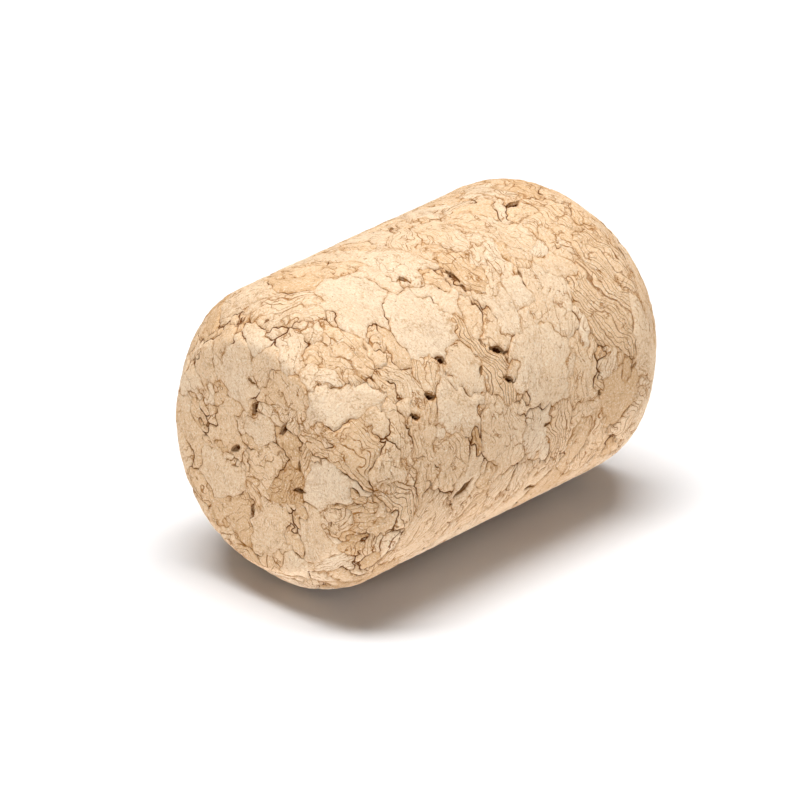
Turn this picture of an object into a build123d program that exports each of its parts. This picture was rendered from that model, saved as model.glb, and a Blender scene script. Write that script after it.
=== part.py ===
"""Wine cork: a granulated stopper in one piece, standing on its square end.

+Z runs along the cork's axis. The origin is the centre of the bottom end. Millimetres.
"""
from build123d import *
import math
import os

# Barrel
diameter = 20.0
length = 30.0  # from the bottom end to the highest point of the top end

# Ground rim of both ends: a cone that is softened where it meets the barrel and the flat
rim_radial = 2.5
rim_axial = 3.1
barrel_soften = 3.0
flat_soften = 1.0

# The top end was cut slightly out of square: it falls toward this direction
slant_deg = 4.0
slant_toward_deg = 35.0

# Voids where granules do not meet: boat shapes, given as length, width and depth
void_sizes = {
    "wide": (1.8, 0.62, 0.50),
    "plain": (1.3, 0.46, 0.38),
    "fine": (0.9, 0.32, 0.26),
}

# Angle round the barrel in degrees, share of the length, lean from the rim's direction, size
barrel_voids = [
    (-93, 0.545, 65, "wide"),
    (-88, 0.570, 20, "fine"),
    (-88, 0.700, 40, "plain"),
    (-96, 0.770, 55, "plain"),
    (-101, 0.825, 35, "plain"),
    (-59, 0.530, 10, "plain"),
    (-66, 0.530, -15, "fine"),
    (-127, 0.445, 80, "fine"),
    (-97, 0.610, -30, "fine"),
]
# Voids of the sides that follow one another round the rest of the barrel
ring_void_count = 18
ring_void_start_deg = -40.0
ring_void_step_deg = 137.5
ring_void_band = (0.20, 0.78)  # lowest and highest share of the length

# Share of the end's radius, angle in degrees, lean in degrees, size
top_voids = [
    (0.73, -27, 60, "fine"),
    (0.45, -31, -40, "plain"),
    (0.48, -76, 15, "plain"),
    (0.53, -116, 70, "fine"),
    (0.55, -141, 25, "plain"),
    (0.57, 137, -20, "fine"),
    (0.30, 60, 35, "plain"),
]
bottom_voids = [
    (0.25, 15, 50, "plain"),
    (0.62, -70, 10, "wide"),
    (0.55, 150, -35, "plain"),
    (0.80, 85, 75, "fine"),
    (0.42, -135, 20, "fine"),
]

# Granules chipped out of the bottom rim: angle in degrees, share of the rim's slope
rim_chips = [(-78, 0.30), (-62, 0.75), (40, 0.45), (160, 0.60)]
chip_size = (2.4, 1.1, 0.36)

radius = diameter / 2
rim_slope_deg = math.degrees(math.atan2(rim_radial, rim_axial))
flat_radius = radius - rim_radial - flat_soften * math.tan(math.radians(90 - rim_slope_deg) / 2)
axis_length = length - flat_radius * math.tan(math.radians(slant_deg))
top_end = Plane(
    origin=(0, 0, axis_length),
    z_dir=Vector(0, 0, 1).rotate(Axis.Y, slant_deg).rotate(Axis.Z, slant_toward_deg),
)
bottom_end = Plane(origin=(0, 0, 0), z_dir=(0, 0, -1))


def boat_cutter(long, wide, deep):
    """An upside-down pyramid on a rhombus, which cuts a boat shape along X below the XY plane."""
    with BuildPart() as boat:
        with BuildSketch(Plane.XY.offset(deep)) as deck:
            with BuildLine():
                Polyline((long, 0), (0, wide), (-long, 0), (0, -wide), close=True)
            make_face()
        loft(sections=[deck.sketch, Vertex(0, 0, -deep)], ruled=True)
    return boat.part


def on_barrel(angle, share, lean):
    """A void's place on the barrel. It lies along the rim's direction and then leans."""
    outward = Vector(1, 0, 0).rotate(Axis.Z, angle)
    along = Vector(0, 1, 0).rotate(Axis.Z, angle).rotate(Axis((0, 0, 0), outward), lean)
    point = outward * radius + Vector(0, 0, share * length)
    return Plane(origin=point, x_dir=along, z_dir=outward).location


def on_end(end, share, angle, lean):
    """A void's place on the flat of one end."""
    spot = Vector(share * flat_radius, 0, 0).rotate(Axis.Z, angle)
    along = Vector(1, 0, 0).rotate(Axis.Z, angle + lean)
    point = end.from_local_coords(spot)
    across = end.from_local_coords(spot + along) - point
    return Plane(origin=point, x_dir=across, z_dir=end.z_dir).location


def on_bottom_rim(angle, share):
    """A chip's place on the bottom rim's cone, from its outer edge (0) to its inner edge (1)."""
    outward = Vector(math.cos(math.radians(rim_slope_deg)), 0, -math.sin(math.radians(rim_slope_deg)))
    foot = Vector(radius - share * rim_radial, 0, rim_axial * (1 - share))
    around = Vector(0, 1, 0).rotate(Axis.Z, angle)
    return Plane(
        origin=foot.rotate(Axis.Z, angle), x_dir=around, z_dir=outward.rotate(Axis.Z, angle)
    ).location


def ring_places():
    """Voids that wind round the barrel, so that no side is left without them."""
    low, high = ring_void_band
    for i in range(ring_void_count):
        angle = ring_void_start_deg + i * ring_void_step_deg
        share = low + (high - low) * (i + 0.5) / ring_void_count
        yield on_barrel(angle, share, lean=(i * 50) % 180 - 90)


def places_of(size):
    """Every place that holds a void of one size."""
    places = [on_barrel(a, s, lean) for a, s, lean, kind in barrel_voids if kind == size]
    for end, voids in ((top_end, top_voids), (bottom_end, bottom_voids)):
        places += [on_end(end, s, a, lean) for s, a, lean, kind in voids if kind == size]
    sizes = list(void_sizes)
    places += [p for i, p in enumerate(ring_places()) if sizes[i % len(sizes)] == size]
    return places


void_tools = {size: boat_cutter(*dims) for size, dims in void_sizes.items()}
chip_tool = boat_cutter(*chip_size)

with BuildPart() as cork:
    # Round bar, sawn square at the bottom and slightly askew at the top
    with BuildSketch(Plane.XY):
        Circle(radius)
    extrude(amount=2 * length)
    split(bisect_by=top_end, keep=Keep.BOTTOM)

    # Ground rims, the chamfer's longer leg along the barrel
    for end in (cork.faces().sort_by(Axis.Z)[-1], cork.faces().sort_by(Axis.Z)[0]):
        chamfer(end.edges(), length=rim_radial, length2=rim_axial, reference=end)

    # Softened edges, where the rims meet the flats and the barrel
    fillet(cork.faces().filter_by(GeomType.PLANE).edges(), radius=flat_soften)
    barrel = cork.faces().filter_by(GeomType.CYLINDER).sort_by(SortBy.AREA)[-1]
    fillet(barrel.edges().filter_by(GeomType.LINE, reverse=True), radius=barrel_soften)

    # Voids and chipped granules
    for size, tool in void_tools.items():
        with Locations(*places_of(size)):
            add(tool, mode=Mode.SUBTRACT)
    with Locations(*[on_bottom_rim(angle, share) for angle, share in rim_chips]):
        add(chip_tool, mode=Mode.SUBTRACT)

os.makedirs("parts", exist_ok=True)
cork.part.label = "cork"
export_step(cork.part, "parts/cork.step")

box = cork.part.bounding_box()
print(f"cork: {box.size.X:.3f} x {box.size.Y:.3f} x {box.size.Z:.3f} mm, {cork.part.volume:.1f} mm3")
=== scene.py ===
import math

import bpy
import numpy as np
from mathutils import Matrix, Vector


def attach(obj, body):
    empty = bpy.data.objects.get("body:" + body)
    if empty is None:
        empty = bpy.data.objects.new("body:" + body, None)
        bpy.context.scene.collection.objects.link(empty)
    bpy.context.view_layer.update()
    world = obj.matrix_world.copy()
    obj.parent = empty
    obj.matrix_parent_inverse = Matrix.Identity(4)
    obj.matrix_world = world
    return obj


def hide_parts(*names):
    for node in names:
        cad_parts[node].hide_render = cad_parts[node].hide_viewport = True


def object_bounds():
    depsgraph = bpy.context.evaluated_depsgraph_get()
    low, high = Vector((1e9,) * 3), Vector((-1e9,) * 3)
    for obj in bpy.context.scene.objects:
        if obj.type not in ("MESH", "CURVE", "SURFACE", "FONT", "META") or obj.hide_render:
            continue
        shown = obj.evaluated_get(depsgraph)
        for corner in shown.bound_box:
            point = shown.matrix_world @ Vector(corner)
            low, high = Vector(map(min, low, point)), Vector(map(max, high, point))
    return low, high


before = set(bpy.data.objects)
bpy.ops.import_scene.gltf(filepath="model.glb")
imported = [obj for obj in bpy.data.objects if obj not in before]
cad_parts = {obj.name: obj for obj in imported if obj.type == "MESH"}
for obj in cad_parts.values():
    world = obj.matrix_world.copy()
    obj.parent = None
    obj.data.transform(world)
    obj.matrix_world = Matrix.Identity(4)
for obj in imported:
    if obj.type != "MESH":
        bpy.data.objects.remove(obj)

cad_low, cad_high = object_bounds()

# A wine cork of pressed granules. Its skin is one mesh, cut along the seams between granules.
# Shapes are worked out in millimetres and written in metres.
MM = 0.001
radius = (cad_high.x - cad_low.x) / 2 / MM
length = (cad_high.z - cad_low.z) / MM

# The ground rims, their softening and the slant of the top end, as in the solid
rim_radial = 2.5
rim_axial = 3.1
barrel_soften = 3.0
flat_soften = 1.0
slant_deg = 4.0
slant_toward_deg = 35.0

rim_slope = math.atan2(rim_radial, rim_axial)
flat_radius = radius - rim_radial - flat_soften * math.tan((math.pi / 2 - rim_slope) / 2)
slant_rise = math.tan(math.radians(slant_deg))
axis_length = length - flat_radius * slant_rise
fall = np.array([math.cos(math.radians(slant_toward_deg)), math.sin(math.radians(slant_toward_deg))])

# Mesh fineness
point_gap = 0.197
ring_gap = 0.172
rounding_points = 24
crossing_range = (0.2, 0.8)  # share of an edge within which a seam may cross it
tiny = 1e-9
far_off = 9.0  # more than any distance that matters here

rng = np.random.default_rng(20)

# Granules that stand out on the barrel: angle, height, half width, flatness, lean, tone, lines.
# The lean turns the granule's layers out of the rim's direction. Tone and lines run from 0 to 1.
side_granules = [
    (-73, 20.6, 2.1, 1.3, 20, 0.95, 0.05),
    (-78, 17.0, 1.1, 1.4, -30, 0.70, 0.15),
    (-81, 14.4, 1.5, 1.6, 15, 0.85, 0.10),
    (-106, 13.2, 2.6, 1.5, -15, 0.80, 0.15),
    (-92, 19.2, 1.2, 1.2, 30, 0.75, 0.05),
    (-95, 17.5, 3.0, 4.6, 16, 0.45, 1.00),
    (-87, 24.6, 1.5, 2.4, 22, 0.60, 0.75),
    (-105, 21.2, 1.6, 1.6, 40, 0.85, 0.10),
    (-107, 24.4, 1.5, 2.0, 12, 0.55, 0.80),
    (-126, 17.2, 2.0, 1.7, 10, 0.65, 0.55),
    (-126, 22.4, 1.9, 1.8, 20, 0.55, 0.60),
    (-133, 12.0, 1.8, 2.2, 10, 0.60, 0.96),
    (-150, 8.0, 2.0, 2.4, 6, 0.55, 0.90),
    (-97, 6.4, 2.4, 2.0, 30, 0.50, 0.97),
    (-85, 10.2, 2.0, 1.5, -20, 0.75, 0.35),
    (-76, 4.6, 2.0, 2.3, 24, 0.55, 0.97),
    (-58, 5.4, 2.0, 2.0, 15, 0.55, 0.90),
    (-51, 10.0, 1.9, 2.2, 10, 0.70, 0.40),
    (-40, 13.0, 1.8, 2.4, 4, 0.70, 0.50),
    (-50, 23.6, 2.2, 1.4, 10, 0.90, 0.10),
    (-62, 14.8, 1.2, 1.6, 10, 0.35, 0.60),
    (-40, 18.5, 2.0, 1.6, 0, 0.85, 0.20),
]
# Granules that stand out on the top end: x, y, half width, flatness, lean, tone, lines.
# Here the lean turns the layers out of the y direction.
top_granules = [
    (0.6, -7.9, 1.6, 1.3, 0, 0.85, 0.10),
    (-3.3, -5.4, 1.8, 1.3, 20, 0.90, 0.05),
    (4.6, -1.0, 1.9, 1.3, 60, 0.75, 0.05),
    (2.6, 1.6, 2.1, 1.4, 30, 0.55, 0.05),
    (1.4, -1.4, 1.2, 1.3, -30, 0.80, 0.05),
    (4.7, -4.2, 1.3, 1.4, 20, 0.60, 0.20),
    (7.2, -1.2, 1.2, 2.2, 70, 0.50, 0.30),
    (6.8, 1.4, 1.4, 1.6, 60, 0.70, 0.10),
    (-2.2, -1.8, 1.3, 1.8, 10, 0.05, 0.70),
    (-1.6, -4.0, 0.9, 2.2, 45, 0.35, 0.80),
    (1.6, -4.6, 1.5, 1.8, 40, 0.60, 0.50),
    (-0.4, 4.3, 1.9, 1.4, 80, 0.75, 0.10),
    (-4.5, 1.6, 1.8, 1.5, 20, 0.65, 0.15),
    (-6.1, -2.0, 1.5, 1.4, 60, 0.70, 0.10),
    (-7.6, -3.6, 0.9, 1.6, 20, 0.15, 0.80),
    (-6.2, -5.6, 1.1, 1.6, -30, 0.35, 0.80),
    (2.2, 5.4, 1.7, 1.5, 50, 0.60, 0.10),
]
granule_sunk = 0.3  # share of the half width by which those centres lie under the surface

# The other granules: half widths of each kind, and how many of each are tried
granule_kinds = [((1.7, 2.3), 260), ((1.0, 1.7), 1600), ((0.60, 1.00), 3000)]
granule_room = 0.58  # least distance between two centres, as a share of their half widths' sum
granule_flatness = (1.4, 3.0)
granule_scatter = 0.42  # how far their layers turn out of the cork's axis
tone_spread = (2.6, 1.6)
lines_spread = (0.9, 1.2)
seed_depth = 2.6  # deepest place under the surface
seed_margin = 0.2  # least distance from the barrel

# How the seams wander: wavelength, seed and reach of each set of waves
seam_wander = [(3.2, 1, 0.22), (1.2, 2, 0.10), (0.6, 3, 0.07)]

# Relief of the skin. A groove follows each seam: its depth, what an open seam adds, its reach.
groove_closed = 0.03
groove_opening = 0.10
groove_reach = 0.10
# Granules lie at different depths down to this one
step_depth = 0.05
# Dents and ripples run over all of them: wavelength, seed and depth
dents = (1.3, 8, 0.03)
ripples = (0.8, 7, 0.008)

# Pinholes at some of the corners where three granules meet
pinhole_share = 0.30
pinhole_depth = 0.22

# How seams open and close along their way: wavelength, seed and reach of each set of waves
opening_waves = [(4.0, 5, 0.35), (1.5, 6, 0.25)]
# Where they are open, with painted shade darkening the gap: angle, height and reach
dark_seams = [
    (-8, 28.2, 2.4),
    (-28, 28.6, 1.6),
    (-100, 24.5, 2.6),
    (-90, 18.3, 1.4),
    (-112, 28.8, 2.4),
    (-160, 28.6, 1.8),
    (-66, 15.5, 1.2),
    (-128, 13.0, 1.2),
]
dark_seam_power = 0.45
dark_seam_inset = 0.92  # share of the radius at which the middles of those places lie
# Seams open more towards the top: heights, and how open they are there
seam_heights = (12, 24)
seam_openness = (0.15, 0.36)

# Voids between granules, as in the solid: length, width and depth of each size
void_sizes = {"wide": (1.8, 0.62, 0.50), "plain": (1.3, 0.46, 0.38), "fine": (0.9, 0.32, 0.26)}
# Angle round the barrel in degrees, share of the length, lean from the rim's direction, size
barrel_voids = [
    (-93, 0.545, 65, "wide"),
    (-88, 0.570, 20, "fine"),
    (-88, 0.700, 40, "plain"),
    (-96, 0.770, 55, "plain"),
    (-101, 0.825, 35, "plain"),
    (-59, 0.530, 10, "plain"),
    (-66, 0.530, -15, "fine"),
    (-127, 0.445, 80, "fine"),
    (-97, 0.610, -30, "fine"),
]
# Share of the end's radius, angle in degrees, lean in degrees, size
top_voids = [
    (0.73, -27, 60, "fine"),
    (0.45, -31, -40, "plain"),
    (0.48, -76, 15, "plain"),
    (0.53, -116, 70, "fine"),
    (0.55, -141, 25, "plain"),
    (0.57, 137, -20, "fine"),
    (0.30, 60, 35, "plain"),
]
bottom_voids = [
    (0.25, 15, 50, "plain"),
    (0.62, -70, 10, "wide"),
    (0.55, 150, -35, "plain"),
    (0.80, 85, 75, "fine"),
    (0.42, -135, 20, "fine"),
]
# Voids of the sides that follow one another round the rest of the barrel
ring_void_count = 18
ring_void_start_deg = -40.0
ring_void_step_deg = 137.5
ring_void_turn_deg = 50
ring_void_band = (0.20, 0.78)  # lowest and highest share of the length
# Granules chipped out of the bottom rim: angle in degrees, share of the rim's slope
rim_chips = [(-78, 0.30), (-62, 0.75), (40, 0.45), (160, 0.60)]
chip_size = (2.4, 1.1, 0.36)
# How the skin takes on the voids and chips
void_wander = 0.4  # how much of the seams' wander a void's outline takes
void_reach = 0.9  # height above and below a void's middle within which it cuts the skin
void_wall = 1.8  # steepness of a void's walls
void_lip = 0.35  # share of its depth that a void has at its edge


def rounded_path(corners, radii):
    """A fine polyline through the corners, each one rounded by its radius."""
    path = [np.array(corners[0], float)]
    for before, corner, after, r in zip(corners, corners[1:], corners[2:], radii):
        corner = np.array(corner, float)
        back = np.array(before) - corner
        ahead = np.array(after) - corner
        back /= np.linalg.norm(back)
        ahead /= np.linalg.norm(ahead)
        half = math.acos(back @ ahead) / 2
        centre = corner + (back + ahead) / np.linalg.norm(back + ahead) * r / math.sin(half)
        start = corner + back * r / math.tan(half) - centre
        end = corner + ahead * r / math.tan(half) - centre
        turn = math.pi - 2 * half
        for s in np.linspace(0, 1, rounding_points):
            spoke = start * math.sin((1 - s) * turn) + end * math.sin(s * turn)
            path.append(centre + spoke / math.sin(turn))
    path.append(np.array(corners[-1], float))
    return np.array(path)


def evenly(path, gap):
    """Points along a polyline, spaced as near to the gap as fits."""
    run = np.concatenate([[0], np.cumsum(np.linalg.norm(np.diff(path, axis=0), axis=1))])
    at = np.linspace(0, run[-1], round(run[-1] / gap) + 1)
    return np.stack([np.interp(at, run, path[:, k]) for k in (0, 1)], 1)


def slanted(points):
    """Lets the top end fall to one side. The barrel's points only slide along it."""
    low, high = rim_axial + barrel_soften / 2, axis_length - rim_axial - barrel_soften / 2
    share = np.clip((points[:, 2] - low) / (high - low), 0, 1)
    points[:, 2] -= slant_rise * (points[:, :2] @ fall) * share
    return points


def zip_rings(lower, upper):
    """Triangles between two rings of vertex numbers that start at the same angle."""
    n, m = len(lower), len(upper)
    i = j = 0
    while i < n or j < m:
        if j == m or (i < n and (i + 1) / n <= (j + 1) / m):
            if n > 1:
                yield lower[i % n], lower[(i + 1) % n], upper[j % m]
            i += 1
        else:
            if m > 1:
                yield lower[i % n], upper[(j + 1) % m], upper[j % m]
            j += 1


def cork_skin():
    """The smooth surface of the cork: vertices and triangles, closed."""
    inner = radius - rim_radial
    corners = [
        (0, 0), (inner, 0), (radius, rim_axial),
        (radius, axis_length - rim_axial), (inner, axis_length), (0, axis_length),
    ]
    radii = [flat_soften, barrel_soften, barrel_soften, flat_soften]
    path = evenly(rounded_path(corners, radii), ring_gap)
    points, rings = [], []
    for r, z in path:
        count = max(1, round(2 * math.pi * r / point_gap))
        angles = 2 * math.pi * np.arange(count) / count
        rings.append(np.arange(count) + len(points))
        points.extend(zip(r * np.cos(angles), r * np.sin(angles), np.full(count, z)))
    triangles = [t for a, b in zip(rings, rings[1:]) for t in zip_rings(a, b)]
    return slanted(np.array(points)), np.array(triangles)


def waves(points, wavelength, seed, count=28, spread=(0.6, 1.5)):
    """Smooth noise of about unit size: a sum of waves in random directions. One column per axis."""
    draw = np.random.default_rng(seed)
    way = draw.normal(size=(3, count))
    way *= 2 * math.pi / wavelength * draw.uniform(*spread, count) / np.linalg.norm(way, axis=0)
    phase = draw.uniform(0, 2 * math.pi, (3, count))
    swing = points @ way
    return np.stack([np.sin(swing + p).sum(1) for p in phase], 1) / math.sqrt(count / 2)


def wave_sets(points, sets):
    """Several sets of waves together, each given by its wavelength, seed and reach."""
    return sum(waves(points, wavelength, seed) * reach for wavelength, seed, reach in sets)


def turned(vector, axis, degrees):
    return np.array(Matrix.Rotation(math.radians(degrees), 3, Vector(axis)) @ Vector(vector))


def barrel_spot(angle, z):
    """A point on the barrel, its outward direction, and the rim's direction there."""
    a = math.radians(angle)
    outward = np.array([math.cos(a), math.sin(a), 0])
    return outward * radius + [0, 0, z], outward, np.array([-math.sin(a), math.cos(a), 0])


def top_height(x, y):
    """The surface's height over the top end and its rim, without the small roundings."""
    beyond = max(0, math.hypot(x, y) - (radius - rim_radial))
    return axis_length - slant_rise * (fall @ [x, y]) - beyond * rim_axial / rim_radial


class Granules:
    """Every granule near the surface: where it is, how wide and flat, and how it looks."""

    def __init__(self):
        self.rows = []
        for angle, z, half, flatness, lean, tone, lines in side_granules:
            point, outward, _ = barrel_spot(angle, z)
            layer = turned([0, 0, 1], outward, lean)
            self.rows.append((point - outward * half * granule_sunk, layer, half, flatness, tone, lines))
        for x, y, half, flatness, lean, tone, lines in top_granules:
            layer = turned([1, 0, 0], (0, 0, 1), lean)
            point = np.array([x, y, top_height(x, y) - half * granule_sunk])
            self.rows.append((point, layer, half, flatness, tone, lines))
        self.fill()
        self.centre, self.layer, self.half, self.flatness, self.tone, self.lines = (
            np.array(column) for column in zip(*self.rows)
        )

    def fill(self):
        """Throws granules into the space near the surface and keeps those that find room."""
        centres = np.array([row[0] for row in self.rows])
        halves = np.array([row[2] for row in self.rows])
        for (small, large), tries in granule_kinds:
            for _ in range(tries):
                half = rng.uniform(small, large)
                point = rng.uniform((-radius, -radius, 0), (radius, radius, length))
                layer = np.array([0, 0, 1]) + rng.normal(size=3) * granule_scatter
                flatness = rng.uniform(*granule_flatness)
                tone = rng.beta(*tone_spread)
                lines = rng.beta(*lines_spread)
                off = math.hypot(point[0], point[1])
                deep = min(radius - off, point[2], length - point[2])
                if off > radius - seed_margin or deep > seed_depth:
                    continue
                if (np.linalg.norm(centres - point, axis=1) < granule_room * (halves + half)).any():
                    continue
                centres = np.vstack([centres, point])
                halves = np.append(halves, half)
                self.rows.append((point, layer / np.linalg.norm(layer), half, flatness, tone, lines))

    def cost(self, points, which):
        """How far each point is from one granule's centre, counted in that granule's half widths."""
        away = points - self.centre[which]
        along = (away * self.layer[which]).sum(-1)
        square = (away**2).sum(-1) + (self.flatness[which] ** 2 - 1) * along**2
        return np.sqrt(square) / self.half[which]

    def nearest(self, points, chunk=2000):
        """The granule that each point belongs to."""
        best = []
        offset = (self.centre * self.layer).sum(1)
        stretch = self.flatness**2 - 1
        for part in np.array_split(points, len(points) // chunk + 1):
            square = (part**2).sum(1)[:, None] - 2 * part @ self.centre.T + (self.centre**2).sum(1)
            square += stretch * (part @ self.layer.T - offset) ** 2
            best.append(np.argmin(square / self.half**2, axis=1))
        return np.concatenate(best)


def barrel_void_places():
    """The voids of the barrel: those that stand out, then those that wind round it."""
    spots = [(angle, share, lean, void_sizes[size]) for angle, share, lean, size in barrel_voids]
    low, high = ring_void_band
    for i in range(ring_void_count):
        share = low + (high - low) * (i + 0.5) / ring_void_count
        size = list(void_sizes.values())[i % len(void_sizes)]
        lean = (i * ring_void_turn_deg) % 180 - 90
        spots.append((ring_void_start_deg + i * ring_void_step_deg, share, lean, size))
    for angle, share, lean, size in spots:
        point, outward, around = barrel_spot(angle, share * length)
        along = turned(around, outward, lean)
        yield point, along, np.cross(outward, along), outward, size


def rim_chip_places():
    """The chips of the bottom rim's cone."""
    for angle, share in rim_chips:
        a = math.radians(angle)
        out = np.array([math.cos(a), math.sin(a), 0]) * math.cos(rim_slope) - [0, 0, math.sin(rim_slope)]
        around = np.array([-math.sin(a), math.cos(a), 0])
        r = radius - share * rim_radial
        point = np.array([r * math.cos(a), r * math.sin(a), rim_axial * (1 - share)])
        yield point, around, np.cross(out, around), out, chip_size


def end_void_places():
    """The voids of the two flat ends."""
    for side, voids in ((1, top_voids), (-1, bottom_voids)):
        for share, angle, lean, size in voids:
            a = math.radians(angle) * side
            x, y = share * flat_radius * math.cos(a), share * flat_radius * math.sin(a)
            point = np.array([x, y, top_height(x, y) if side > 0 else 0])
            along = turned([1, 0, 0], (0, 0, 1), (angle + lean) * side)
            outward = np.array([0, 0, side])
            yield point, along, np.cross(outward, along), outward, void_sizes[size]


def void_fields(points, ragged):
    """For each point, how far it is outside a void's outline, below zero within, and the depth."""
    outside = np.full(len(points), far_off)
    deep = np.zeros(len(points))
    places = [*barrel_void_places(), *rim_chip_places(), *end_void_places()]
    for centre, along, across, outward, (long, wide, depth) in places:
        away = points + ragged * void_wander - centre
        near = np.abs(away @ outward) < void_reach
        value = np.abs(away @ along) / (long / 2) + np.abs(away @ across) / (wide / 2) - 1
        better = near & (value < outside)
        outside[better] = value[better]
        deep[better] = depth
    return outside, deep


def mesh_edges(triangles):
    """Each edge once, as a pair of vertex numbers."""
    sides = np.concatenate([triangles[:, [0, 1]], triangles[:, [1, 2]], triangles[:, [2, 0]]])
    return np.unique(np.sort(sides, axis=1), axis=0)


def cut_along_seams(points, triangles, label, cost):
    """Splits each triangle where its corners belong to different granules.

    Returns all points, the triangles, each triangle's granule, and how many of the last points
    are corners where three granules meet. Every added point lies on a seam.
    """
    edges = mesh_edges(triangles)
    cut = edges[label[edges[:, 0]] != label[edges[:, 1]]]
    first, second = cut.T
    # A seam crosses an edge where both granules cost the same
    here = cost(first, label[second]) - cost(first, label[first])
    there = cost(second, label[first]) - cost(second, label[second])
    share = np.clip(here / (here + there + tiny), *crossing_range)[:, None]
    crossings = points[first] * (1 - share) + points[second] * share
    base = len(points)
    number = {(a, b): base + k for k, (a, b) in enumerate(cut.tolist())}

    def crossing(a, b):
        return number[min(a, b), max(a, b)]

    owner = label[triangles]
    whole = (owner[:, 0] == owner[:, 1]) & (owner[:, 1] == owner[:, 2])
    pieces, owners, hubs = [], [], []
    for (a, b, c), (of_a, of_b, of_c) in zip(triangles[~whole].tolist(), owner[~whole].tolist()):
        if of_a != of_b and of_b != of_c and of_c != of_a:
            ab, bc, ca = crossing(a, b), crossing(b, c), crossing(c, a)
            hub = base + len(crossings) + len(hubs)
            hubs.append((crossings[ab - base] + crossings[bc - base] + crossings[ca - base]) / 3)
            fan = [(a, ab), (ab, b), (b, bc), (bc, c), (c, ca), (ca, a)]
            pieces += [(*side, hub) for side in fan]
            owners += [of_a, of_b, of_b, of_c, of_c, of_a]
            continue
        # Turn the triangle so that its first corner is the odd one out
        if of_a == of_b:
            a, b, c, of_a, of_b = c, a, b, of_c, of_a
        elif of_c == of_a:
            a, b, c, of_a, of_b = b, c, a, of_b, of_c
        ab, ca = crossing(a, b), crossing(c, a)
        pieces += [(a, ab, ca), (ab, b, c), (ab, c, ca)]
        owners += [of_a, of_b, of_b]
    return (
        np.concatenate([points, crossings, np.array(hubs)]),
        np.concatenate([triangles[whole], np.array(pieces)]),
        np.concatenate([owner[whole, 0], np.array(owners)]),
        len(hubs),
    )


def seam_distance(points, triangles, on_seam, rounds=9):
    """Each point's distance along the surface to the nearest seam, a few triangles deep."""
    a, b = mesh_edges(triangles).T
    gap = np.linalg.norm(points[a] - points[b], axis=1)
    far = np.where(on_seam, 0.0, far_off)
    for _ in range(rounds):
        np.minimum.at(far, a, far[b] + gap)
        np.minimum.at(far, b, far[a] + gap)
    return far


def outward_normals(points, triangles):
    corners = points[triangles]
    face = np.cross(corners[:, 1] - corners[:, 0], corners[:, 2] - corners[:, 0])
    normal = np.zeros_like(points)
    for k in range(3):
        np.add.at(normal, triangles[:, k], face)
    return normal / np.linalg.norm(normal, axis=1)[:, None]


def seam_opening(points):
    """How open and dark a seam is at each point, from 0 to 1. The dark is painted shade in the open gap.
    """
    crack = wave_sets(points, opening_waves)[:, 0]
    crack += np.interp(points[:, 2], seam_heights, seam_openness)
    for angle, z, reach in dark_seams:
        spot = barrel_spot(angle, z)[0] * [dark_seam_inset, dark_seam_inset, 1]
        crack += dark_seam_power * np.exp(-((points - spot) ** 2).sum(1) / reach**2)
    return np.clip(crack, 0, 1)


def granule_depths(point_count, triangles, owner, granule_count):
    """How deep each point lies because its granule does. Voids lie as deep as any."""
    step = np.append(rng.uniform(0.0, step_depth, granule_count), step_depth)
    depth = np.zeros(point_count)
    np.maximum.at(depth, triangles.ravel(), np.repeat(step[owner], 3))
    return depth


def pit_depths(point_count, corner_count, outside, deep):
    """How deep each point lies in a void, or in a pinhole at one of the last points."""
    pit = np.zeros(point_count)
    walls = np.clip(-outside * void_wall, void_lip, 1) * deep
    pit[:len(outside)] = np.where(outside < 0, walls, 0)
    corners = pit[point_count - corner_count:]
    corners[rng.uniform(size=corner_count) < pinhole_share] = pinhole_depth
    return pit


def groove_depths(seam, crack):
    return (groove_closed + groove_opening * crack) * np.exp(-seam / groove_reach)


def dent_depths(points):
    wavelength, seed, depth = dents
    return depth * np.clip(1 - np.abs(waves(points, wavelength, seed)[:, 0]), 0, 1)


def ripple_depths(points):
    wavelength, seed, depth = ripples
    return depth * (1 + np.clip(waves(points, wavelength, seed)[:, 1] / 2, -1, 1))


def granule_looks(granules):
    """One row per granule and a last one for all voids: tone, lines, chance, void."""
    count = len(granules.half)
    return np.stack([
        np.append(granules.tone, 0.0),
        np.append(granules.lines, 0.0),
        np.append(rng.uniform(size=count), 0.5),
        np.append(np.zeros(count), 1.0),
    ], 1)


def put(mesh, name, kind, domain, values):
    """Stores one value per point or face for the material to read."""
    field = {"FLOAT": "value", "FLOAT_VECTOR": "vector", "FLOAT_COLOR": "color"}[kind]
    numbers = np.asarray(values, np.float32).ravel()
    mesh.attributes.new(name, kind, domain).data.foreach_set(field, numbers)


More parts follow.
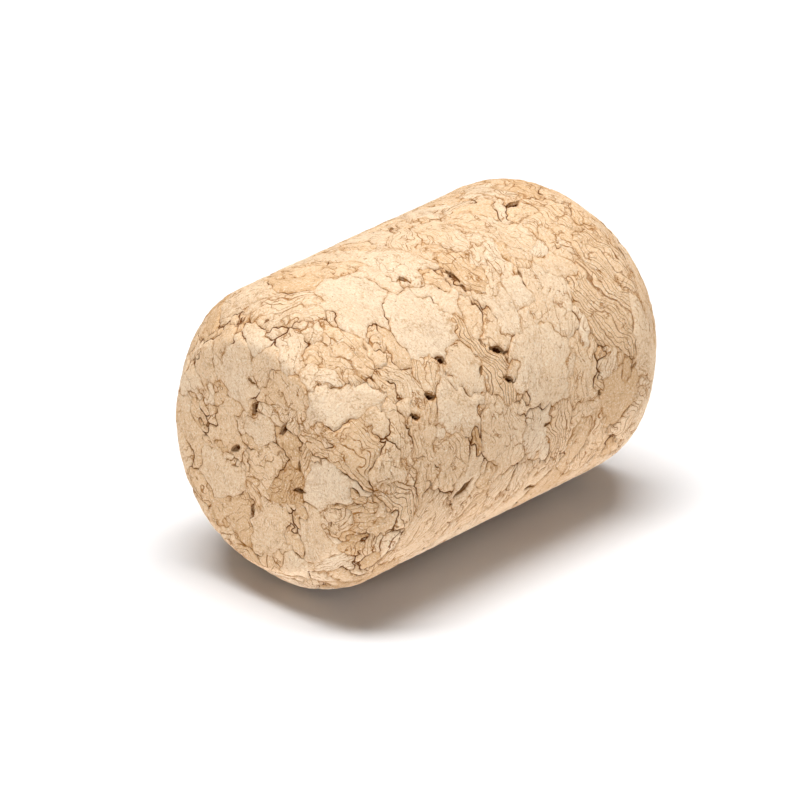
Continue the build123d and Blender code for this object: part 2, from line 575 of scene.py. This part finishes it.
def cork_mesh():
    """The granulated skin as a mesh that carries each granule's look for the material."""
    points, triangles = cork_skin()
    granules = Granules()
    ragged = wave_sets(points, seam_wander)
    shifted = points + ragged
    label = granules.nearest(shifted)
    own_cost = granules.cost(shifted, label)
    outside, deep = void_fields(points, ragged)
    void_label = len(granules.half)
    label[outside < 0] = void_label

    def cost(vertex, which):
        is_void = which == void_label
        value = granules.cost(shifted[vertex], np.where(is_void, 0, which))
        return np.where(is_void, own_cost[vertex] + outside[vertex], value)

    points, triangles, owner, corner_count = cut_along_seams(points, triangles, label, cost)
    seam = seam_distance(points, triangles, np.arange(len(points)) >= len(outside))
    crack = seam_opening(points)
    step = granule_depths(len(points), triangles, owner, void_label)
    pit = pit_depths(len(points), corner_count, outside, deep)
    sink = step + groove_depths(seam, crack) + pit + dent_depths(points) + ripple_depths(points)
    points = (points - outward_normals(points, triangles) * sink[:, None]) * MM

    mesh = bpy.data.meshes.new("cork_granules")
    mesh.from_pydata(points.tolist(), [], triangles.tolist())
    mesh.shade_smooth()
    put(mesh, "seam_mm", "FLOAT", "POINT", seam)
    put(mesh, "crack", "FLOAT", "POINT", crack)
    put(mesh, "pit_mm", "FLOAT", "POINT", pit)
    put(mesh, "layer", "FLOAT_VECTOR", "FACE", np.vstack([granules.layer, [0, 0, 1]])[owner])
    put(mesh, "look", "FLOAT_COLOR", "FACE", granule_looks(granules)[owner])
    print("triangles", len(triangles), "granules", void_label)
    return mesh


class Nodes:
    """Short ways to add nodes to one node tree."""

    def __init__(self, tree):
        self.tree = tree
        tree.nodes.clear()

    def join(self, value, socket):
        """Links a socket to the value if that is one, and writes the value otherwise."""
        if isinstance(value, bpy.types.NodeSocket):
            self.tree.links.new(value, socket)
        else:
            socket.default_value = value

    def add(self, kind, inputs=(), **settings):
        node = self.tree.nodes.new(kind)
        for key, value in settings.items():
            setattr(node, key, value)
        for key, value in dict(inputs).items():
            self.join(value, node.inputs[key])
        return node

    def math(self, operation, *values):
        return self.add("ShaderNodeMath", enumerate(values), operation=operation).outputs[0]

    def plus(self, a, b):
        return self.math("ADD", a, b)

    def minus(self, a, b):
        return self.math("SUBTRACT", a, b)

    def times(self, a, b):
        return self.math("MULTIPLY", a, b)

    def larger(self, a, b):
        return self.math("MAXIMUM", a, b)

    def nearness(self, distance, width):
        """1 at no distance, falling to 0 at the width."""
        return self.minus(1.0, self.math("MINIMUM", self.math("DIVIDE", distance, width), 1.0))

    def vector(self, operation, *values):
        node = self.add("ShaderNodeVectorMath", enumerate(values), operation=operation)
        return node.outputs["Value" if operation == "DOT_PRODUCT" else "Vector"]

    def scaled(self, vector, by):
        node = self.add("ShaderNodeVectorMath", {"Vector": vector, "Scale": by}, operation="SCALE")
        return node.outputs["Vector"]

    def shaken(self, place, noise, reach):
        """The place moved by a noise colour, half the reach each way."""
        off = self.vector("SUBTRACT", noise, (0.5, 0.5, 0.5))
        return self.vector("ADD", place, self.scaled(off, reach))

    def noise(self, place, scale, detail, output="Fac", **inputs):
        given = {"Vector": place, "Scale": scale, "Detail": detail, **inputs}
        return self.add("ShaderNodeTexNoise", given).outputs[output]

    def cells(self, place, scale, **settings):
        return self.add("ShaderNodeTexVoronoi", {"Vector": place, "Scale": scale}, **settings).outputs

    def ramp(self, value, low, high, start=0.0, end=1.0):
        """A smooth step of the value from low to high, running from start to end."""
        given = {"Value": value, "From Min": low, "From Max": high, "To Min": start, "To Max": end}
        return self.add("ShaderNodeMapRange", given, interpolation_type="SMOOTHSTEP").outputs[0]

    def mix(self, share, a, b):
        node = self.add("ShaderNodeMix", data_type="RGBA")
        self.join(share, node.inputs[0])
        self.join(a, node.inputs[6])
        self.join(b, node.inputs[7])
        return node.outputs[2]

    def channels(self, value):
        return self.add("ShaderNodeSeparateColor", {"Color": value}).outputs

    def attribute(self, name, output="Fac"):
        return self.add("ShaderNodeAttribute", attribute_name=name).outputs[output]


def colour(r, g, b):
    return (r, g, b, 1.0)


# Colours of the cork: its faces, the marks on them, and the painted shade of its open seams and voids
chalk = colour(0.925, 0.83, 0.68)
cream = colour(0.885, 0.70, 0.50)
buff = colour(0.845, 0.597, 0.372)
fawn = colour(0.69, 0.440, 0.232)
dull_grain = colour(0.52, 0.25, 0.075)
stain_brown = colour(0.46, 0.235, 0.085)
halo_brown = colour(0.55, 0.245, 0.060)
flake_brown = colour(0.40, 0.155, 0.028)
line_brown = colour(0.38, 0.145, 0.025)
bold_line_brown = colour(0.22, 0.078, 0.014)
# The colour of an open seam: painted shade in its gap
open_seam_shade = colour(0.18, 0.056, 0.009)
speck_brown = colour(0.25, 0.12, 0.05)
# Painted shade inside voids and pinholes, in the cork's dark brown
shaded_void_light = colour(0.17, 0.055, 0.014)
shaded_void_dark = colour(0.045, 0.014, 0.004)

# Sizes of the cork's patterns. Scales are in cells per millimetre, widths and reaches in
# millimetres. An edge runs from where a mark is whole to where it ends.
grit_scale = 7.5
fleck_scale = 4.5
bend_scale = 0.5
bend_reach = 2.4
line_density = (1.7, 1.7)  # lines per millimetre, and how many more where they are strongest
line_edge = (0.009, 0.036)
line_shift = 60.0  # farthest that chance shifts a granule's lines
line_drift_scale = 1.2
line_drift = 1.5
line_patch_scale = 0.8
bold_lines = (0.93, 1.0)  # the value for lines from which they turn bold, and where they are so
fibre_scales = (1.3, 9.0)  # within the granule's layers, and how much more across them
flake_scales = (0.75, 0.9)  # the same
flake_jolt_scale = 2.6
flake_jolt = 0.55
flake_width = 0.045
flake_patch_scale = 1.3
cloud_scale = 0.35
stain_scale = 0.6
speck_scale = 2.6
speck_edge = (0.05, 0.18)  # in shares of a cell
speck_pick = (0.78, 0.84)  # the cells' chance above which they hold a speck
seam_ragged_scale = 5.0
seam_fade_scale = 1.3
halo_widths = (0.06, 0.28)
core_widths = (0.004, 0.034)
core_opening = 0.036  # how much an open seam adds to them, as painted shade in its gap
void_shade_depths = (0.04, 0.28)  # depths at which painted shade in a void starts, and is darkest
bump_depth = 0.08
roughness = (0.72, 0.90)
shine = 0.12


class CorkFields:
    """What several layers of the cork's material read. Places and widths are in millimetres."""

    def __init__(self, nodes):
        self.place = nodes.scaled(nodes.add("ShaderNodeTexCoord").outputs["Object"], 1 / MM)
        self.tone, self.lines, self.chance = nodes.channels(nodes.attribute("look", "Color"))
        self.is_void = nodes.attribute("look", "Alpha")
        self.layer = nodes.attribute("layer", "Vector")
        self.seam = nodes.attribute("seam_mm")
        self.crack = nodes.attribute("crack")
        self.pit = nodes.attribute("pit_mm")
        self.grit = nodes.noise(self.place, grit_scale, 3.0, Roughness=0.85)
        swirl = nodes.noise(self.place, bend_scale, 2.0, "Color", Roughness=0.42)
        self.bent = nodes.shaken(self.place, swirl, bend_reach)
        self.rise = nodes.vector("DOT_PRODUCT", self.bent, self.layer)
        self.fleck = nodes.noise(self.bent, fleck_scale, 3.0, Roughness=0.7)

    def squeezed(self, nodes, within, across):
        """The place scaled up, and more so across the granule's layers, so that a pattern lies flat."""
        extra = nodes.scaled(self.layer, nodes.times(self.rise, across))
        return nodes.vector("ADD", nodes.scaled(self.bent, within), extra)


def layer_lines(nodes, cork):
    """Layers of the bark: wavy lines across each granule's own direction, unevenly spaced."""
    least, more = line_density
    density = nodes.plus(least, nodes.times(cork.lines, more))
    apart = nodes.times(cork.chance, line_shift)
    uneven = {"W": nodes.plus(cork.rise, apart), "Scale": line_drift_scale, "Detail": 2.0}
    drift = nodes.add("ShaderNodeTexNoise", uneven, noise_dimensions="1D").outputs["Fac"]
    count = nodes.plus(nodes.times(cork.rise, density), nodes.times(drift, line_drift))
    off_line = nodes.math("DIVIDE", nodes.math("PINGPONG", count, 0.5), density)
    patch = nodes.noise(cork.place, line_patch_scale, 2.0)
    power = nodes.ramp(cork.lines, 0.1, 0.95, 0.20, 1.0)
    power = nodes.times(power, nodes.ramp(patch, 0.34, 0.60, 0.15, 1.0))
    power = nodes.larger(power, nodes.ramp(cork.lines, 0.9, 1.0))
    whole = nodes.ramp(cork.fleck, 0.36, 0.50, 0.35, 1.0)
    whole = nodes.larger(whole, nodes.ramp(cork.lines, *bold_lines))
    return nodes.times(nodes.ramp(off_line, *line_edge, 1.0, 0.0), nodes.times(power, whole))


def fibres(nodes, cork):
    """Fine fibres that run within the layers."""
    return nodes.noise(cork.squeezed(nodes, *fibre_scales), 1.0, 4.0, Roughness=0.62)


def flake_cracks(nodes, cork):
    """Fine broken cracks that divide the granules further."""
    jolt = nodes.noise(cork.place, flake_jolt_scale, 3.0, "Color", Roughness=0.6)
    place = nodes.shaken(cork.squeezed(nodes, *flake_scales), jolt, flake_jolt)
    cells = nodes.cells(place, 1.0, feature="DISTANCE_TO_EDGE")
    where = nodes.ramp(nodes.noise(cork.place, flake_patch_scale, 2.0), 0.42, 0.58)
    where = nodes.times(where, nodes.ramp(cork.lines, 0.0, 0.35, 0.30, 1.0))
    return nodes.times(nodes.ramp(cells["Distance"], 0.0, flake_width, 1.0, 0.0), where)


def granule_faces(nodes, cork, fibre):
    """The pale faces of the granules, with clouds of tone, sandy grain and brown stains."""
    cloud = nodes.noise(cork.place, cloud_scale, 3.0)
    pale = nodes.plus(cork.tone, nodes.times(nodes.minus(cloud, 0.5), 0.6))
    base = nodes.mix(nodes.ramp(pale, 0.0, 0.55), fawn, buff)
    base = nodes.mix(nodes.ramp(pale, 0.45, 1.1), base, cream)
    dull = nodes.ramp(fibre, 0.58, 0.30, 0.0, 0.16)
    dull = nodes.plus(dull, nodes.ramp(cork.grit, 0.50, 0.28, 0.0, 0.70))
    base = nodes.mix(dull, base, dull_grain)
    base = nodes.mix(nodes.ramp(cork.grit, 0.53, 0.70, 0.0, 0.90), base, chalk)
    stain = nodes.noise(cork.place, stain_scale, 4.0, Roughness=0.65)
    stain = nodes.times(nodes.ramp(stain, 0.48, 0.70), nodes.ramp(cork.fleck, 0.44, 0.62, 0.04, 0.65))
    return nodes.mix(stain, base, stain_brown)


def with_lines(nodes, cork, base, line, flake):
    """Draws the flake cracks and the layer lines over the faces."""
    base = nodes.mix(nodes.times(flake, 0.85), base, flake_brown)
    ink = nodes.mix(nodes.ramp(cork.lines, *bold_lines), line_brown, bold_line_brown)
    return nodes.mix(nodes.times(line, 0.97), base, ink)


def with_specks(nodes, cork, base):
    """Adds rare small dark specks."""
    cells = nodes.cells(cork.place, speck_scale)
    rare = nodes.ramp(nodes.channels(cells["Color"])[0], *speck_pick)
    speck = nodes.times(nodes.ramp(cells["Distance"], *speck_edge, 1.0, 0.0), rare)
    return nodes.mix(nodes.times(speck, 0.7), base, speck_brown)


def with_seams(nodes, cork, base):
    """Adds the seams: a soft brown halo and a thin dark core that fades in and out. Where a seam opens,
    its core is painted wider and darker as shade in the gap.
    """
    ragged = nodes.noise(cork.place, seam_ragged_scale, 3.0, Roughness=0.65)
    fade = nodes.noise(cork.place, seam_fade_scale, 3.0)
    halo = nodes.nearness(cork.seam, nodes.ramp(ragged, 0.3, 0.7, *halo_widths))
    base = nodes.mix(nodes.times(halo, nodes.ramp(fade, 0.38, 0.62, 0.10, 0.55)), base, halo_brown)
    core_width = nodes.ramp(ragged, 0.3, 0.7, *core_widths)
    core_width = nodes.plus(core_width, nodes.times(cork.crack, core_opening))
    core = nodes.ramp(nodes.nearness(cork.seam, core_width), 0.0, 0.7)
    kept = nodes.ramp(fade, 0.38, 0.64, 0.15, 1.0)
    core = nodes.times(core, nodes.larger(kept, nodes.ramp(cork.crack, 0.75, 1.0)))
    # Painted shade: an open seam's core turns from the line's brown to the shade colour
    core_and_gap_shade = nodes.mix(nodes.ramp(cork.crack, 0.25, 0.75), line_brown, open_seam_shade)
    return nodes.mix(core, base, core_and_gap_shade), core


def with_void_shade(nodes, cork, base):
    """Paints shade into voids and pinholes in the cork's dark brown, darker with depth."""
    # Painted shade: darker the deeper the pit, and half dark on any void face
    dark = nodes.larger(nodes.ramp(cork.pit, *void_shade_depths), nodes.times(cork.is_void, 0.5))
    hollow_shade = nodes.mix(nodes.ramp(cork.grit, 0.40, 0.62), shaded_void_dark, shaded_void_light)
    return nodes.mix(dark, base, hollow_shade), dark


def cork_bump(nodes, cork, line, flake, core, fibre):
    """Relief that is too fine for the mesh."""
    height = nodes.minus(nodes.times(cork.grit, 0.9), nodes.times(line, 0.45))
    height = nodes.minus(nodes.minus(height, core), nodes.times(flake, 0.6))
    height = nodes.plus(height, nodes.times(fibre, 0.9))
    bump = nodes.add("ShaderNodeBump", {"Height": height, "Strength": 0.85, "Distance": bump_depth * MM})
    return bump.outputs["Normal"]


def cork_material():
    """Granulated cork: pale granules with layer lines, specks, brown seams that turn to painted shade
    where they open, and voids painted dark with shade.
    """
    material = bpy.data.materials.new("granulated_cork")
    material.use_nodes = True
    nodes = Nodes(material.node_tree)
    cork = CorkFields(nodes)
    line, flake, fibre = layer_lines(nodes, cork), flake_cracks(nodes, cork), fibres(nodes, cork)
    base = with_lines(nodes, cork, granule_faces(nodes, cork, fibre), line, flake)
    base, core = with_seams(nodes, cork, with_specks(nodes, cork, base))
    base, dark = with_void_shade(nodes, cork, base)
    shader = nodes.add("ShaderNodeBsdfPrincipled", {
        "Base Color": base,
        "Roughness": nodes.ramp(cork.grit, 0.3, 0.7, *roughness),
        "Specular IOR Level": nodes.ramp(dark, 0.0, 0.3, shine, 0.0),
        "Normal": cork_bump(nodes, cork, line, flake, core, fibre),
    })
    nodes.add("ShaderNodeOutputMaterial", {"Surface": shader.outputs[0]})
    return material


def make_cork():
    mesh = cork_mesh()
    mesh.materials.append(cork_material())
    cork = bpy.data.objects.new("cork_body", mesh)
    bpy.context.scene.collection.objects.link(cork)
    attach(cork, "root")
    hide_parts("cork")


# The view of the photograph, in which the cork lies on its side. The elevation is counted from
# the plane across the cork's middle, and the roll is about the line of sight.
photo_side = 800
cork_centre_px = (412.9, 381.9)
focal_px = 8966.0
camera_distance = 568.2 * MM
camera_elevation = math.radians(42)
camera_roll = math.radians(-115.39)
cork_middle = Vector((0, 0, length / 2 * MM))

to_camera = Vector((0, -math.cos(camera_elevation), math.sin(camera_elevation)))
level = Vector((1, 0, 0))
upright = to_camera.cross(level)
image_right = level * math.cos(camera_roll) + upright * math.sin(camera_roll)
image_up = upright * math.cos(camera_roll) - level * math.sin(camera_roll)
# The surface that the photographed cork lies on touches its side and is level in the picture
floor_up = Vector((image_right.y, -image_right.x, 0)).normalized()
if floor_up.dot(image_up) < 0:
    floor_up.negate()
floor_near = (to_camera - floor_up * to_camera.dot(floor_up)).normalized()

floor_half = 0.12  # half of the floor's side, in metres
floor_white = colour(0.86, 0.86, 0.87)
white = colour(1, 1, 1)
world_light = 0.035


def make_camera():
    data = bpy.data.cameras.new("camera")
    data.sensor_width = 36
    data.lens = focal_px * data.sensor_width / photo_side
    data.clip_start, data.clip_end = 0.01, 10
    camera = bpy.data.objects.new("camera", data)
    bpy.context.scene.collection.objects.link(camera)
    half = photo_side / 2
    aim = Vector(((cork_centre_px[0] - half) / focal_px, (half - cork_centre_px[1]) / focal_px, -1))
    aim_turn = Vector((0, 0, -1)).rotation_difference(aim).to_matrix()
    turn = Matrix((image_right, image_up, to_camera)).transposed() @ aim_turn.inverted()
    place = Matrix.Translation(cork_middle + to_camera * camera_distance)
    camera.matrix_world = place @ turn.to_4x4()
    bpy.context.scene.camera = camera


def lamp(name, up, near, right, wide, deep, energy):
    """A soft lamp that points at the cork.

    Its place is counted from the cork's middle, in metres: up from the floor, near to the camera
    along the floor, and right.
    """
    data = bpy.data.lights.new(name, "AREA")
    data.shape = "RECTANGLE"
    data.size = wide
    data.size_y = deep
    data.energy = energy
    away = floor_up * up + floor_near * near + image_right * right
    back = away.normalized()
    across = (image_right - back * image_right.dot(back)).normalized()
    turn = Matrix((across, back.cross(across), back)).transposed()
    light = bpy.data.objects.new(name, data)
    light.matrix_world = Matrix.Translation(cork_middle + away) @ turn.to_4x4()
    bpy.context.scene.collection.objects.link(light)


def floor_material():
    """White to the camera and to bounced light from above it, clear to everything else."""
    material = bpy.data.materials.new("floor")
    material.use_nodes = True
    nodes = Nodes(material.node_tree)
    path = nodes.add("ShaderNodeLightPath").outputs
    front = nodes.minus(1.0, nodes.add("ShaderNodeNewGeometry").outputs["Backfacing"])
    bounced = nodes.math("GREATER_THAN", path["Diffuse Depth"], 0.5)
    seen = nodes.times(nodes.larger(path["Is Camera Ray"], bounced), front)
    pale = nodes.add("ShaderNodeBsdfDiffuse", {"Color": floor_white}).outputs[0]
    clear = nodes.add("ShaderNodeBsdfTransparent").outputs[0]
    mixed = nodes.add("ShaderNodeMixShader", {0: seen, 1: clear, 2: pale}).outputs[0]
    nodes.add("ShaderNodeOutputMaterial", {"Surface": mixed})
    return material


def make_floor():
    """A pale floor under the lying cork. It is seen only from above and lets all lamps through."""
    mesh = bpy.data.meshes.new("floor")
    foot = Vector((0, 0, cork_middle.z)) - floor_up * (radius * MM)
    sides = [(-1, -1), (1, -1), (1, 1), (-1, 1)]
    corners = [foot + image_right * floor_half * a - floor_near * floor_half * b for a, b in sides]
    mesh.from_pydata(corners, [], [(0, 1, 2, 3)])
    mesh.materials.append(floor_material())
    floor = bpy.data.objects.new("floor", mesh)
    bpy.context.scene.collection.objects.link(floor)


def make_world():
    """White to the camera, reflections and glass, and a faint soft light to the cork."""
    world = bpy.data.worlds.new("studio")
    world.use_nodes = True
    nodes = Nodes(world.node_tree)
    path = nodes.add("ShaderNodeLightPath").outputs
    seen = nodes.larger(path["Is Camera Ray"], path["Is Glossy Ray"])
    seen = nodes.larger(seen, path["Is Transmission Ray"])
    soft = nodes.add("ShaderNodeBackground", {"Color": white, "Strength": world_light}).outputs[0]
    bright = nodes.add("ShaderNodeBackground", {"Color": white, "Strength": 1.0}).outputs[0]
    mixed = nodes.add("ShaderNodeMixShader", {0: seen, 1: soft, 2: bright}).outputs[0]
    nodes.add("ShaderNodeOutputWorld", {"Surface": mixed})
    bpy.context.scene.world = world


make_cork()
make_camera()
make_floor()
make_world()
lamp("key", up=0.55, near=-0.01, right=-0.03, wide=0.46, deep=0.18, energy=4.4)
lamp("front", up=0.09, near=0.52, right=-0.25, wide=0.36, deep=0.36, energy=1.25)
lamp("right", up=0.06, near=-0.08, right=0.48, wide=0.40, deep=0.40, energy=0.80)
lamp("under", up=-0.45, near=-0.24, right=0.03, wide=0.40, deep=0.30, energy=3.1)

bpy.context.scene.view_settings.view_transform = "Standard"
